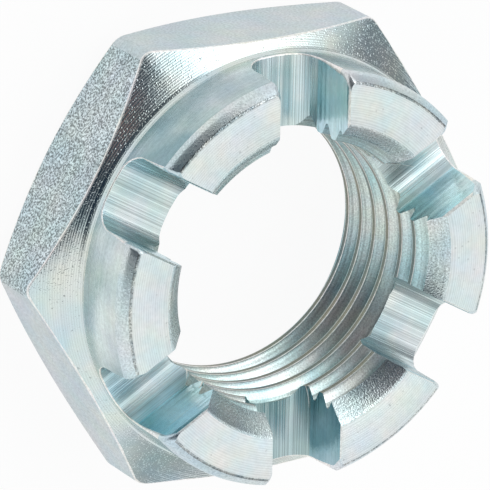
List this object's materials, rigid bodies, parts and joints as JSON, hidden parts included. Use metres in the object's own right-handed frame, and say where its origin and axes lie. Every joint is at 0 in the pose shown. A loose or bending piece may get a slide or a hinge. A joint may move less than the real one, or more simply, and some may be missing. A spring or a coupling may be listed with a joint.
{
  "type": "castle nut",
  "caption": "Thin hexagon nut with a slotted round collar, so that a split pin can lock it on its bolt.",
  "frame": {"origin": "centre of the bearing face, on the thread's axis", "axes": "+Z along the thread's axis, from the bearing face to the castle; +X through the middle of a flat and of its slot"},
  "size_m": [0.036, 0.0412, 0.015],
  "materials": {
    "plated_steel": "machined steel with pale blue passivated zinc plating"
  },
  "bodies": {
    "root": {"castle_nut": "plated_steel"}
  },
  "joints": []
}
